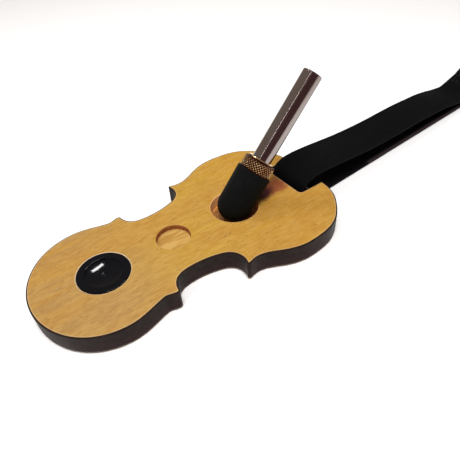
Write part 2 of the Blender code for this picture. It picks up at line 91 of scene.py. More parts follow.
def add_object(name, data):
    thing = bpy.data.objects.new(name, data)
    bpy.context.scene.collection.objects.link(thing)
    return thing


def finished_mesh(name, edit):
    mesh = bpy.data.meshes.new(name)
    edit.to_mesh(mesh)
    edit.free()
    return mesh


def make_camera():
    data = bpy.data.cameras.new("camera")
    data.sensor_width = 36.0
    data.lens = CAMERA_LENS
    data.clip_start = 0.01
    data.clip_end = 20.0
    camera = add_object("camera", data)
    back = -CAMERA_FORWARD.normalized()
    side = CAMERA_UP.cross(back).normalized()
    up = back.cross(side)
    turn = Matrix((side, up, back)).transposed()
    camera.matrix_world = Matrix.Translation(CAMERA_PLACE) @ turn.to_4x4()
    bpy.context.scene.camera = camera


def area_light(name, place, target, size, power, long_side=(1.0, 0.0, 0.0)):
    """White rectangular light that faces a target, with its first side along long_side."""
    data = bpy.data.lights.new(name, "AREA")
    data.shape = "RECTANGLE"
    data.size, data.size_y = size
    data.energy = power
    light = add_object(name, data)
    back = (Vector(place) - Vector(target)).normalized()
    other = back.cross(Vector(long_side)).normalized()
    turn = Matrix((other.cross(back), other, back)).transposed()
    light.matrix_world = Matrix.Translation(place) @ turn.to_4x4()
    return light


def make_world():
    """Dim neutral room, darker and warmer on the side where the viewer stands."""
    world = bpy.data.worlds.new("studio")
    bpy.context.scene.world = world
    world.use_nodes = True
    tree = world.node_tree
    place = tree.nodes.new("ShaderNodeTexCoord")
    facing = tree.nodes.new("ShaderNodeVectorMath")
    facing.operation = "DOT_PRODUCT"
    facing.inputs[1].default_value = (-0.3, -0.93, 0.2)
    ramp = tree.nodes.new("ShaderNodeMapRange")
    ramp.inputs["From Min"].default_value = 0.3
    ramp.inputs["From Max"].default_value = 0.85
    mix = tree.nodes.new("ShaderNodeMix")
    mix.data_type = "RGBA"
    mix.inputs[6].default_value = (0.33, 0.29, 0.255, 1.0)
    mix.inputs[7].default_value = (0.125, 0.062, 0.066, 1.0)
    tree.links.new(place.outputs["Generated"], facing.inputs[0])
    tree.links.new(facing.outputs["Value"], ramp.inputs["Value"])
    tree.links.new(ramp.outputs["Result"], mix.inputs[0])
    tree.links.new(mix.outputs[2], tree.nodes["Background"].inputs["Color"])


def make_studio():
    """Soft lights kept out of reflections, a strip light behind and a thin lamp at the left that show."""
    bpy.context.scene.view_settings.view_transform = "Standard"
    make_world()
    overhead = area_light("overhead", (-0.06, -0.24, 0.95), (0.03, 0.0, 0.0), (0.32, 0.32), 11.0)
    fill = area_light("fill", (-0.6, -0.05, 0.9), (0.03, 0.0, 0.0), (1.00, 1.00), 3.4)
    for light in (overhead, fill):
        light.visible_glossy = False
    area_light("strip", (0.092, 0.459, 0.884), (-0.045, 0.0, 0.01), (0.26, 0.06), 3.0, (-0.27, -0.08, 0.08))
    area_light("lamp", (-0.578, -0.276, 0.621), (0.058, 0.0, 0.047), (0.9, 0.022), 0.4, (0.67, 0.0, 0.742))


def make_floor():
    edit = bmesh.new()
    bmesh.ops.create_grid(edit, x_segments=1, y_segments=1, size=6.0)
    mesh = finished_mesh("floor", edit)
    floor = add_object("floor", mesh)
    material = bpy.data.materials.new("floor")
    material.use_nodes = True
    shader = material.node_tree.nodes["Principled BSDF"]
    shader.inputs["Base Color"].default_value = (0.74, 0.74, 0.74, 1.0)
    shader.inputs["Roughness"].default_value = 0.9
    shader.inputs["Specular IOR Level"].default_value = 0.2
    mesh.materials.append(material)


# ---------------------------------------------------------------- material building blocks

class Nodes:
    """A material's node tree, with one short call for each kind of node."""

    def __init__(self, name):
        self.material = bpy.data.materials.new(name)
        self.material.use_nodes = True
        self.tree = self.material.node_tree
        self.shader = self.tree.nodes["Principled BSDF"]

    def make(self, kind, **settings):
        node = self.tree.nodes.new(kind)
        for key, value in settings.items():
            if key in node.inputs:
                node.inputs[key].default_value = value
            else:
                setattr(node, key, value)
        return node

    def link(self, source, target):
        self.tree.links.new(source, target)

    def place(self, scale=(1.0, 1.0, 1.0), rotation=(0.0, 0.0, 0.0), kind="Object"):
        """Coordinates in metres, stretched by scale."""
        source = self.make("ShaderNodeTexCoord")
        mapping = self.make("ShaderNodeMapping", Scale=scale, Rotation=rotation)
        self.link(source.outputs[kind], mapping.inputs["Vector"])
        return mapping.outputs["Vector"]

    def axis(self, vector, name):
        parts = self.make("ShaderNodeSeparateXYZ")
        self.link(vector, parts.inputs[0])
        return parts.outputs[name]

    def stored(self, name):
        """A value stored on the mesh's points under this name."""
        return self.make("ShaderNodeAttribute", attribute_name=name).outputs["Fac"]

    def noise(self, stretch, detail=3.0, roughness=0.5, distortion=0.0, turn=0.0, kind="Object"):
        """Noise with about stretch grains per metre: one number for all axes, or one for each."""
        if isinstance(stretch, float):
            stretch = (stretch, stretch, stretch)
        node = self.make("ShaderNodeTexNoise", Scale=1.0, Detail=detail, Roughness=roughness,
                         Distortion=distortion)
        self.link(self.place(stretch, (0.0, 0.0, turn), kind), node.inputs["Vector"])
        return node.outputs["Fac"]

    def math(self, operation, a, b=0.0, c=0.0):
        node = self.make("ShaderNodeMath", operation=operation)
        for socket, value in zip(node.inputs, (a, b, c)):
            if isinstance(value, (int, float)):
                socket.default_value = value
            else:
                self.link(value, socket)
        return node.outputs[0]

    def spread(self, value, low, high, to_low=0.0, to_high=1.0):
        """Stretch the range low to high onto to_low to to_high, smoothly and clamped."""
        node = self.make("ShaderNodeMapRange", interpolation_type="SMOOTHSTEP")
        for name, number in (("From Min", low), ("From Max", high), ("To Min", to_low), ("To Max", to_high)):
            node.inputs[name].default_value = number
        self.link(value, node.inputs["Value"])
        return node.outputs["Result"]

    def blend(self, factor, colour_a, colour_b):
        node = self.make("ShaderNodeMix", data_type="RGBA")
        for index, value in ((0, factor), (6, colour_a), (7, colour_b)):
            socket = node.inputs[index]
            if isinstance(value, tuple):
                socket.default_value = (*value, 1.0)
            elif isinstance(value, (int, float)):
                socket.default_value = value
            else:
                self.link(value, socket)
        return node.outputs[2]

    def bump(self, height, distance, strength=1.0, under=None):
        node = self.make("ShaderNodeBump", Strength=strength, Distance=distance)
        self.link(height, node.inputs["Height"])
        if under is not None:
            self.link(under, node.inputs["Normal"])
        return node.outputs["Normal"]

    def colour(self, source):
        self.link(source, self.shader.inputs["Base Color"])

    def roughness(self, source):
        self.link(source, self.shader.inputs["Roughness"])

    def normal(self, source):
        self.link(source, self.shader.inputs["Normal"])

    def set(self, **values):
        for key, value in values.items():
            self.shader.inputs[key.replace("_", " ")].default_value = value
        return self.material


# Marks beside the large seat: (centre, half size, colour). The outer one is a reddish burn mark, partly
# painted shade; the darker one nearer the boot is a painted shadow of the leaning boot.
SCORCH_AND_SHADOW_MARKS = (
    ((0.054, -0.0002, BOARD_TOP), (0.0135, 0.008, 0.015), (0.19, 0.055, 0.02)),
    ((0.0455, -0.0012, BOARD_TOP), (0.0092, 0.0062, 0.015), (0.052, 0.011, 0.011)),
)


def wood_colour(n):
    """Honey beech, yellower towards the notch: broad figure, fine streaks and brown flecks along X."""
    along = n.axis(n.place(), "X")
    broad = n.noise((9.0, 95.0, 60.0), 3.0, 0.55, 0.6)
    streak = n.noise((55.0, 1500.0, 900.0), 2.0, 0.6)
    fleck = n.noise((330.0, 2600.0, 1500.0), 1.0, 0.4)
    knot = n.noise((240.0, 420.0, 300.0), 1.0, 0.4)
    pale = n.blend(n.spread(along, -0.05, 0.0), (0.27, 0.158, 0.052), (0.34, 0.201, 0.028))
    pale = n.blend(n.spread(along, 0.0, 0.055), pale, (0.35, 0.185, 0.023))
    figure = n.blend(n.spread(broad, 0.4, 0.62, 0.0, 0.7), pale, (0.32, 0.165, 0.03))
    mottle = n.noise((170.0, 420.0, 300.0), 3.0, 0.65)
    figure = n.blend(n.spread(mottle, 0.36, 0.64, 0.3, 0.0), figure, (0.44, 0.285, 0.08))
    fine = n.blend(n.spread(streak, 0.4, 0.66, 0.0, 0.34), figure, (0.235, 0.105, 0.022))
    flecks = n.blend(n.spread(fleck, 0.6, 0.72, 0.0, 0.5), fine, (0.17, 0.07, 0.017))
    return n.blend(n.spread(knot, 0.74, 0.8, 0.0, 0.7), flecks, (0.2, 0.085, 0.022)), streak, fleck


def bare_wood_colour(n, wood, end_grain):
    """Unlacquered seats: drill streaks on the small floor and darker end-grain walls, partly painted shade;
    in the large one an orange wall brightened as painted light and a reddish floor darkened as painted shade.
    """
    wall = n.stored("wall")
    sweep = n.noise((70.0, 330.0, 100.0), 2.0, 0.5, turn=-0.9)
    floor = n.blend(n.spread(sweep, 0.4, 0.62), (0.42, 0.27, 0.085), (0.29, 0.148, 0.038))
    floor = n.blend(0.25, floor, wood)
    # The small seat's wall: darker end grain, partly painted shade.
    side = n.blend(n.spread(end_grain, 0.35, 0.7), (0.33, 0.13, 0.042), (0.21, 0.07, 0.022))
    in_large = n.spread(n.axis(n.place(), "X"), 0.004, 0.012)
    # The large seat's wall is brightened as painted light, and its floor is darkened as painted shade.
    large_wall_painted_light = n.blend(n.spread(end_grain, 0.35, 0.7), (0.96, 0.45, 0.14), (0.9, 0.4, 0.11))
    large_floor_painted_shade = n.blend(n.spread(sweep, 0.4, 0.62), (0.33, 0.15, 0.045), (0.23, 0.098, 0.032))
    return n.blend(wall, n.blend(in_large, floor, large_floor_painted_shade), n.blend(in_large, side, large_wall_painted_light))


def scorched_and_shaded(n, wood):
    """Wood with a reddish mark beside the large seat, partly burn mark and partly painted shade, and a darker
    painted shadow under the leaning endpin.
    """
    ragged = n.noise(330.0, 3.0, 0.6)
    # Each mark blends the wood towards its colour: painted shade, darkest under the boot.
    for centre, size, colour in SCORCH_AND_SHADOW_MARKS:
        mapping = n.make("ShaderNodeMapping", vector_type="TEXTURE", Location=centre, Scale=size)
        n.link(n.place(), mapping.inputs["Vector"])
        reach = n.make("ShaderNodeVectorMath", operation="LENGTH")
        n.link(mapping.outputs["Vector"], reach.inputs[0])
        rough_reach = n.math("MULTIPLY_ADD", ragged, 0.8, reach.outputs["Value"])
        wood = n.blend(n.spread(rough_reach, 0.8, 1.45, 1.0, 0.0), wood, colour)
    return wood


def beech_material():
    """Lacquered beech above, dark stained edge, bare wood inside the drilled seats."""
    n = Nodes("beech_board")
    wood, streak, fleck = wood_colour(n)
    bare = n.stored("bare")
    stain = n.stored("stain")
    end_grain = n.noise((500.0, 900.0, 700.0), 3.0, 0.6)
    rim = n.stored("rim")
    upper = n.blend(bare, wood, bare_wood_colour(n, wood, end_grain))
    # rim carries the painted highlight on the seats' rims and along the top edge, as a pale colour.
    upper = n.blend(rim, scorched_and_shaded(n, upper), (0.56, 0.45, 0.31))
    creep = n.noise((260.0, 260.0, 400.0), 3.0, 0.6)
    foot = n.spread(n.axis(n.place(), "Z"), 0.0012, 0.008, 1.0, 0.0)
    dark = n.blend(n.spread(creep, 0.35, 0.7), (0.013, 0.008, 0.0062), (0.023, 0.0135, 0.011))
    dark_foot = n.blend(n.math("MULTIPLY", foot, 0.7), dark, (0.028, 0.0105, 0.0125))
    edge = n.spread(n.math("ADD", stain, n.math("MULTIPLY", creep, 0.3)), 0.45, 0.8)
    n.colour(n.blend(edge, upper, dark_foot))
    haze = n.noise((30.0, 45.0, 30.0), 3.0, 0.6)
    lacquer = n.spread(haze, 0.3, 0.75, 0.38, 0.54)
    n.roughness(n.math("ADD", lacquer, n.math("MULTIPLY", bare, 0.3)))
    grain = n.math("ADD", n.math("MULTIPLY", streak, 0.6), n.math("MULTIPLY", fleck, 0.4))
    fine = n.bump(grain, 0.00006, 0.5)
    n.normal(n.bump(n.math("MULTIPLY", end_grain, bare), 0.00012, 0.6, fine))
    return n.set(Specular_IOR_Level=0.07)


def rubber_material(name, base, wear_and_edge_light, roughness, grain):
    """Moulded rubber: fine matt skin, faint bloom and dust."""
    n = Nodes(name)
    bloom = n.noise(120.0, 4.0, 0.6)
    skin = n.noise(3500.0, 2.0, 0.6)
    n.colour(n.blend(n.spread(bloom, 0.4, 0.75), base, wear_and_edge_light))
    n.roughness(n.spread(bloom, 0.3, 0.75, roughness, roughness + 0.14))
    n.normal(n.bump(skin, grain, 0.6))
    return n.set(Specular_IOR_Level=0.1)


def cup_material():
    """Black gloss resin with hair-fine scratches and a little dust."""
    n = Nodes("cup_gloss_black")
    dust = n.noise(2200.0, 2.0, 0.5)
    smear = n.noise((150.0, 320.0, 200.0), 4.0, 0.65)
    scratch = n.noise((400.0, 5200.0, 900.0), 1.0, 0.4, turn=0.7)
    n.colour(n.blend(n.spread(dust, 0.66, 0.78, 0.0, 0.35), (0.0012, 0.0013, 0.0024), (0.01, 0.01, 0.014)))
    n.roughness(n.spread(smear, 0.35, 0.75, 0.05, 0.12))
    n.normal(n.bump(scratch, 0.000006, 0.3))
    return n.set(Specular_IOR_Level=0.2)


def steel_material(name, base, warm, low, high, brushed):
    """Polished steel with drawing marks along the bar and finger smears."""
    n = Nodes(name)
    along = n.noise((3800.0, 30.0, 1.0), 2.0, 0.6, kind="UV")
    smear = n.noise((70.0, 70.0, 30.0), 4.0, 0.6)
    n.colour(n.blend(n.spread(smear, 0.35, 0.7), base, warm))
    n.roughness(n.spread(smear, 0.3, 0.75, low, high))
    n.normal(n.bump(along, brushed, 0.35))
    return n.set(Metallic=1.0)


def brass_material():
    """Brass with reddish patina in the knurling, and painted shade on the lip's edge, the chamfer and the
    ends of the knurled band.
    """
    n = Nodes("collar_brass")
    tarnish_and_shade_mask = n.stored("groove")
    tone = n.noise(260.0, 3.0, 0.6)
    bright = n.blend(n.spread(tone, 0.35, 0.7), (1.0, 0.83, 0.48), (0.96, 0.66, 0.3))
    n.colour(n.blend(n.spread(tarnish_and_shade_mask, 0.3, 0.64), bright, (0.095, 0.024, 0.01)))
    n.roughness(n.math("MULTIPLY_ADD", tarnish_and_shade_mask, 0.35, n.spread(tone, 0.3, 0.75, 0.12, 0.22)))
    fine = n.noise(3000.0, 1.0, 0.4)
    n.normal(n.bump(fine, 0.00001, 0.3))
    return n.set(Metallic=1.0)


def webbing_material(name, selvedge, selvedge_start):
    """Black polyester webbing: herringbone weave between lengthwise ribs, and a selvedge in its own tone,
    which for the lower plies is a painted highlight of the floor's light on the near edge.
    """
    n = Nodes(name)
    place = n.place(kind="UV")
    along = n.axis(place, "X")
    across = n.axis(place, "Y")
    zigzag = n.math("PINGPONG", across, 0.00145)
    slanted = n.math("ADD", along, zigzag)
    twill = n.math("SINE", n.math("MULTIPLY", slanted, 2.0 * math.pi / 0.00078))
    picks = n.math("SINE", n.math("MULTIPLY", along, 2.0 * math.pi / 0.00052))
    weave = n.math("ADD", n.math("MULTIPLY", twill, 0.7), n.math("MULTIPLY", picks, 0.3))
    fuzz = n.noise(1800.0, 3.0, 0.6)
    fade = n.noise((35.0, 60.0, 60.0), 3.0, 0.6)
    base = n.blend(n.spread(fade, 0.35, 0.7), (0.0017, 0.0019, 0.0024), (0.0028, 0.0029, 0.0036))
    # Selvedge tone: for the lower plies, a painted highlight where the floor's light catches the near edge.
    edge = n.spread(n.math("ABSOLUTE", across), selvedge_start, 0.0122)
    base = n.blend(edge, base, selvedge)
    n.colour(n.blend(n.spread(weave, -0.8, 0.9, 0.5, 0.0), base, (0.0016, 0.0015, 0.0018)))
    n.roughness(n.spread(fuzz, 0.3, 0.75, 0.66, 0.86))
    coarse = n.bump(weave, 0.0001, 0.7)
    n.normal(n.bump(fuzz, 0.00006, 0.4, coarse))
    return n.set(Specular_IOR_Level=0.07)


def thread_material():
    """Twisted black sewing thread."""
    n = Nodes("thread_black")
    twist = n.noise(2600.0, 2.0, 0.5)
    n.colour(n.blend(n.spread(twist, 0.35, 0.7), (0.006, 0.006, 0.007), (0.016, 0.015, 0.016)))
    n.roughness(n.spread(twist, 0.3, 0.7, 0.4, 0.6))
    n.normal(n.bump(twist, 0.00005, 0.6))
    return n.set(Specular_IOR_Level=0.25)


def nylon_material():
    """Moulded black nylon, rubbed shiny in places."""
    n = Nodes("slider_nylon")
    pores = n.noise(2400.0, 2.0, 0.5)
    rub = n.noise(180.0, 4.0, 0.6)
    n.colour(n.blend(n.spread(rub, 0.45, 0.75), (0.006, 0.006, 0.0064), (0.013, 0.013, 0.014)))
    n.roughness(n.spread(rub, 0.3, 0.75, 0.3, 0.48))
    n.normal(n.bump(pores, 0.00003, 0.5))
    return n.set(Specular_IOR_Level=0.35)


# ---------------------------------------------------------------- shape building blocks

def new_piece(name, mesh, material, body=None, node=None):
    piece = add_object(name, mesh)
    mesh.materials.clear()
    mesh.materials.append(material)
    if node:
        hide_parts(*node)
    if body:
        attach(piece, body)
    return piece


def smooth_faces(mesh, degrees=30.0):
    mesh.shade_smooth()
    mesh.set_sharp_from_angle(angle=math.radians(degrees))


def turned(name, profile, steps):
    """Profile of (radius, height), down the outer side, turned about Z, with a UV map of (around, height)."""
    edit = bmesh.new()
    uv_layer = edit.loops.layers.uv.new("UVMap")
    rings = []
    for radius, height in profile:
        if radius < 1e-7:
            rings.append([edit.verts.new((0.0, 0.0, height))] * steps)
            continue
        ring = []
        for step in range(steps):
            angle = 2.0 * math.pi * step / steps
            ring.append(edit.verts.new((radius * math.cos(angle), radius * math.sin(angle), height)))
        rings.append(ring)
    for upper in range(len(rings) - 1):
        for step in range(steps):
            corners = {}
            for row, column in ((upper, step), (upper + 1, step), (upper + 1, step + 1), (upper, step + 1)):
                corners.setdefault(rings[row][column % steps], (row, column))
            if len(corners) < 3:
                continue
            face = edit.faces.new(list(corners))
            for loop, (row, column) in zip(face.loops, corners.values()):
                radius, height = profile[row]
                loop[uv_layer].uv = (radius * 2.0 * math.pi * column / steps, height)
    mesh = finished_mesh(name, edit)
    smooth_faces(mesh)
    return mesh


def join_rings(edit, rings):
    """Side faces between each closed ring of points and the next."""
    count = len(rings[0])
    for lower, upper in zip(rings, rings[1:]):
        for index in range(count):
            after = (index + 1) % count
            edit.faces.new((lower[index], lower[after], upper[after], upper[index]))


def arc(centre, radius, start, end, steps):
    points = []
    for step in range(steps + 1):
        angle = math.radians(start + (end - start) * step / steps)
        points.append((centre[0] + radius * math.cos(angle), centre[1] + radius * math.sin(angle)))
    return points


def endpin_matrix():
    """From the endpin's own upright frame to the place where it leans in its seat."""
    lean = Matrix.Rotation(math.pi / 2 - ENDPIN_ELEVATION, 4, "Y")
    return Matrix.Translation(TILT_CENTRE) @ lean


def strap_matrix():
    """From the strap's own (s, across, height) frame to the row frame."""
    return Matrix.Translation((PIN_X, 0.0, 0.0)) @ Matrix.Rotation(STRAP_HEADING, 4, "Z")


def smooth_path(points, spacing):
    """Catmull-Rom curve through the given 2-D points, sampled about evenly."""
    knots = [Vector(point) for point in points]
    padded = [2 * knots[0] - knots[1]] + knots + [2 * knots[-1] - knots[-2]]
    path = []
    for p0, p1, p2, p3 in zip(padded, padded[1:], padded[2:], padded[3:]):
        chord = (p2 - p1).length
        tangent_1 = (p2 - p0) * (chord / ((p1 - p0).length + chord))
        tangent_2 = (p3 - p1) * (chord / ((p3 - p2).length + chord))
        count = max(1, round(chord / spacing))
        for step in range(count):
            t = step / count
            h1 = 2 * t**3 - 3 * t * t + 1
            h2 = t**3 - 2 * t * t + t
            h3 = -2 * t**3 + 3 * t * t
            h4 = t**3 - t * t
            path.append(h1 * p1 + h2 * tangent_1 + h3 * p2 + h4 * tangent_2)
    path.append(knots[-1])
    return path


def evaluated_mesh(piece):
    bpy.context.view_layer.update()
    depsgraph = bpy.context.evaluated_depsgraph_get()
    return bpy.data.meshes.new_from_object(piece.evaluated_get(depsgraph))


def cut_away(mesh, cutters):
    """Boolean difference of a mesh and several cutter meshes."""
    holder = add_object("uncut", mesh)
    tools = []
    for index, cutter in enumerate(cutters):
        tool = add_object("cutter", cutter)
        tools.append(tool)
        modifier = holder.modifiers.new(f"cut_{index}", "BOOLEAN")
        modifier.operation = "DIFFERENCE"
        modifier.solver = "EXACT"
        modifier.object = tool
    result = evaluated_mesh(holder)
    for used in tools + [holder]:
        bpy.data.objects.remove(used, do_unlink=True)
    return result


# ---------------------------------------------------------------- board, sole and pin

BOARD_BOTTOM = BOARD_LOW.z
EDGE_RADIUS = 0.0005
STAIN_CREEP = 0.0004
# Width and strength of a thin painted highlight of the lacquer, just inside the stained top edge.
EDGE_HIGHLIGHT_WIDTH = 0.0004
EDGE_HIGHLIGHT_STRENGTH = 0.22
CORNER_TURN = 26.0
SEAT_RIM = 0.0004
# Painted highlight on the eased rims of the cup's seat, the small seat and the large seat, and how fast it
# rises below the top.
SEAT_RIM_HIGHLIGHT = (1.0, 0.0, 0.35)
RIM_BARE_FROM = 0.25
RIM_HIGHLIGHT_RISE = 8.0
RIM_FOOT = 1.1
SEAT_DEPTHS = (0.0078, 0.003, 0.007)
SEAT_FILLET = 0.0003
PIN_RADIUS = 0.0025
PIN_Z = 0.0048
PIN_HALF_LENGTH = 0.022
SOLE_GROOVE_PITCH = 0.006
SOLE_GROOVE_WIDTH = 0.0012
SOLE_GROOVE_DEPTH = 0.0003
SOLE_EDGE = 0.00015


def loop_at_height(node, height):
    """Corner points of a CAD node's outer wall at one height, in order, anticlockwise."""
    edit = bmesh.new()
    edit.from_mesh(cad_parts[node].data)
    bmesh.ops.remove_doubles(edit, verts=edit.verts, dist=1e-6)
    level = {vert for vert in edit.verts if abs(vert.co.z - height) < 2e-5}
    neighbours = {vert: [] for vert in level}
    for edge in edit.edges:
        a, b = edge.verts
        if a in level and b in level and edge.calc_face_angle(0.0) > 0.1:
            neighbours[a].append(b)
            neighbours[b].append(a)
    start = min(level, key=lambda vert: vert.co.x)
    walk = [start, neighbours[start][0]]
    while walk[-1] is not start:
        ahead = [vert for vert in neighbours[walk[-1]] if vert is not walk[-2]]
        walk.append(ahead[0])
    points = [Vector((vert.co.x, vert.co.y)) for vert in walk[:-1]]
    edit.free()
    area = sum(a.x * b.y - b.x * a.y for a, b in zip(points, points[1:] + points[:1]))
    return points if area > 0 else points[::-1]


def turn_at(points, index):
    before = points[index] - points[index - 1]
    after = points[(index + 1) % len(points)] - points[index]
    return abs(math.degrees(before.angle_signed(after)))


def smooth_outline(points, spacing):
    """Round the facets of an outline, and keep its true corners sharp."""
    corners = [index for index in range(len(points)) if turn_at(points, index) > CORNER_TURN]
    outline = []
    for start, end in zip(corners, corners[1:] + [corners[0] + len(points)]):
        run = [points[index % len(points)] for index in range(start, end + 1)]
        outline.extend(smooth_path(run, spacing)[:-1])
    return outline


def mitred(points, distance):
    """Each point of a closed anticlockwise outline moved inwards, with mitred corners."""
    moved = []
    for index, point in enumerate(points):
        before = (point - points[index - 1]).normalized()
        after = (points[(index + 1) % len(points)] - point).normalized()
        inward = Vector((-before.y - after.y, before.x + after.x)).normalized()
        cosine = max(0.5, inward.dot(Vector((-after.y, after.x))))
        moved.append(point + inward * (distance / cosine))
    return moved


def gap_to_outline(points, place):
    """Shortest distance from a place to a closed outline."""
    gaps = []
    for index, end in enumerate(points):
        start = points[index - 1]
        if (start - place).length > 0.006:
            continue
        _, share = intersect_point_line(place, start, end)
        foot = start.lerp(end, min(1.0, max(0.0, share)))
        gaps.append((foot - place).length)
    return min(gaps)


def inset(points, distance):
    """Inset outline; where a tight corner would knot, points slide onto the corner between good ones."""
    if distance < 1e-6:
        return list(points)
    moved = mitred(points, distance)
    good = [gap_to_outline(points, place) > 0.96 * distance for place in moved]
    count = len(points)
    for index in range(count):
        if good[index]:
            continue
        back = next(step for step in range(1, count) if good[index - step])
        ahead = next(step for step in range(1, count) if good[(index + step) % count])
        before = moved[index - back]
        after = moved[(index + ahead) % count]
        moved[index] = before.lerp(after, back / (back + ahead))
    return moved


def plate(name, outline, levels):
    """Closed plate from (inset, height) levels, bottom to top."""
    edit = bmesh.new()
    rings = []
    for distance, height in levels:
        rings.append([edit.verts.new((point.x, point.y, height)) for point in inset(outline, distance)])
    join_rings(edit, rings)
    edit.faces.new(rings[0][::-1])
    edit.faces.new(rings[-1])
    return finished_mesh(name, edit)


def rounded_levels(bottom, top, radius, steps):
    """Levels of a plate whose upper and lower edges are rounded."""
    levels = []
    for step in range(steps + 1):
        angle = math.pi / 2 * step / steps
        levels.append((radius * (1 - math.sin(angle)), bottom + radius * (1 - math.cos(angle))))
    return levels + [(distance, top + bottom - height) for distance, height in reversed(levels)]


def seat_cutter(centre_x, radius, depth):
    """A round pocket whose upper rim is eased by a small round."""
    rim = arc((radius + SEAT_RIM, BOARD_TOP - SEAT_RIM), SEAT_RIM, 90, 180, 4)
    floor = BOARD_TOP - depth
    above = BOARD_TOP + 0.004
    profile = [(0.0, above), (radius + SEAT_RIM, above)] + rim
    profile += [(radius, floor + SEAT_FILLET), (radius - SEAT_FILLET, floor), (0.0, floor)]
    mesh = turned("cutter", profile, 96)
    mesh.transform(Matrix.Translation((centre_x, 0.0, 0.0)))
    return mesh


def pin_cutter():
    """Slot milled across the underside, with a round crown for the pin."""
    reach = PIN_HALF_LENGTH + GAP
    bore = PIN_RADIUS + GAP
    profile = [(-bore, BOARD_BOTTOM - 0.002), (bore, BOARD_BOTTOM - 0.002)]
    profile += [(x, PIN_Z + z) for x, z in arc((0.0, 0.0), bore, 0, 180, 16)]
    edit = bmesh.new()
    near = [edit.verts.new((PIN_X + x, -reach, z)) for x, z in profile]
    far = [edit.verts.new((PIN_X + x, reach, z)) for x, z in profile]
    join_rings(edit, [near, far])
    edit.faces.new(near[::-1])
    edit.faces.new(far)
    bmesh.ops.recalc_face_normals(edit, faces=edit.faces)
    return finished_mesh("cutter", edit)


def in_pin_slot(x, y, z):
    beside_strap = NOTCH_HALF_WIDTH + GAP < abs(y) < PIN_HALF_LENGTH + 2 * GAP
    return beside_strap and abs(x - PIN_X) < PIN_RADIUS + 2 * GAP and z < PIN_Z + PIN_RADIUS + 2 * GAP


def marks_at(outline, x, y, z):
    """Shares of (stain, bare wood, seat wall, painted highlight on rims and along the top edge) at one point
    of the board.
    """
    if in_pin_slot(x, y, z):
        return 0.0, 1.0, 1.0, 0.0
    for (centre_x, radius), rim_highlight in zip(SEATS, SEAT_RIM_HIGHLIGHT):
        reach = math.hypot(x - centre_x, y)
        if reach < radius + 2 * SEAT_RIM:
            sunk = (BOARD_TOP - z) / SEAT_RIM
            inside = float(reach < radius + SEAT_RIM / 2 and sunk > RIM_BARE_FROM)
            rim = rim_highlight * min(1.0, RIM_HIGHLIGHT_RISE * sunk) if sunk < RIM_FOOT else 0.0
            return 0.0, inside, float(reach > radius - SEAT_FILLET / 2), rim
    if z > BOARD_TOP - 1e-6:
        over = gap_to_outline(outline, Vector((x, y))) - EDGE_RADIUS
        # The pale line here is a painted highlight of the lacquer's edge.
        pale = max(0.0, 1.0 - abs(over - STAIN_CREEP) / EDGE_HIGHLIGHT_WIDTH)
        return max(0.0, 1.0 - over / STAIN_CREEP), 0.0, 0.0, EDGE_HIGHLIGHT_STRENGTH * pale
    return min(1.0, (z - BOARD_BOTTOM) / EDGE_RADIUS), 0.0, 0.0, 0.0


def board_marks(mesh, outline):
    """Store which points are stained, bare, on a seat's wall, or under the painted highlight on a seat's rim
    and just inside the top edge.
    """
    marks = [marks_at(outline, *vert.co) for vert in mesh.vertices]
    for index, name in enumerate(("stain", "bare", "wall", "rim")):
        attribute = mesh.attributes.new(name, "FLOAT", "POINT")
        attribute.data.foreach_set("value", [mark[index] for mark in marks])


def make_board():
    outline = smooth_outline(loop_at_height("board", BOARD_TOP - EDGE_RADIUS), 0.0008)
    levels = rounded_levels(BOARD_BOTTOM, BOARD_TOP, EDGE_RADIUS, 4)
    levels += [(EDGE_RADIUS + STAIN_CREEP, BOARD_TOP), (EDGE_RADIUS + STAIN_CREEP + EDGE_HIGHLIGHT_WIDTH, BOARD_TOP)]
    mesh = plate("beech_board", outline, levels)
    cutters = [seat_cutter(x, radius, depth) for (x, radius), depth in zip(SEATS, SEAT_DEPTHS)]
    mesh = cut_away(mesh, cutters + [pin_cutter()])
    board_marks(mesh, outline)
    smooth_faces(mesh, 32.0)
    board = new_piece("beech_board", mesh, beech_material(), "board", ["board"])
    board.modifiers.new("flat_faces", "WEIGHTED_NORMAL").keep_sharp = True


def make_sole():
    """Rubber sheet glued under the board, with shallow ribs across its underside."""
    low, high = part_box("rubber_sole")
    outline = smooth_outline(loop_at_height("rubber_sole", low.z), 0.0008)
    mesh = plate("ribbed_sole", outline, rounded_levels(low.z, high.z, SOLE_EDGE, 2))
    edit = bmesh.new()
    x = low.x + SOLE_GROOVE_PITCH
    while x < high.x:
        groove = bmesh.ops.create_cube(edit, size=1.0)["verts"]
        bmesh.ops.scale(edit, vec=(SOLE_GROOVE_WIDTH, 0.2, 2 * SOLE_GROOVE_DEPTH), verts=groove)
        bmesh.ops.translate(edit, vec=(x, 0.0, low.z), verts=groove)
        x += SOLE_GROOVE_PITCH
    mesh = cut_away(mesh, [finished_mesh("cutter", edit)])
    smooth_faces(mesh)
    material = rubber_material("sole_rubber", (0.011, 0.011, 0.011), (0.03, 0.029, 0.028), 0.8, 0.00006)
    new_piece("ribbed_sole", mesh, material, "board", ["rubber_sole"])


def make_pin():
    chamfer = 0.0005
    half = PIN_HALF_LENGTH
    profile = [(0.0, half), (PIN_RADIUS - chamfer, half), (PIN_RADIUS, half - chamfer),
               (PIN_RADIUS, chamfer - half), (PIN_RADIUS - chamfer, -half), (0.0, -half)]
    mesh = turned("turned_pin", profile, 64)
    mesh.transform(Matrix.Translation((PIN_X, 0.0, PIN_Z)) @ Matrix.Rotation(math.pi / 2, 4, "X"))
    material = steel_material("pin_steel", (0.055, 0.053, 0.05), (0.075, 0.068, 0.06), 0.34, 0.48, 0.000004)
    new_piece("turned_pin", mesh, material, "board", ["strap_pin"])


# ---------------------------------------------------------------- cup

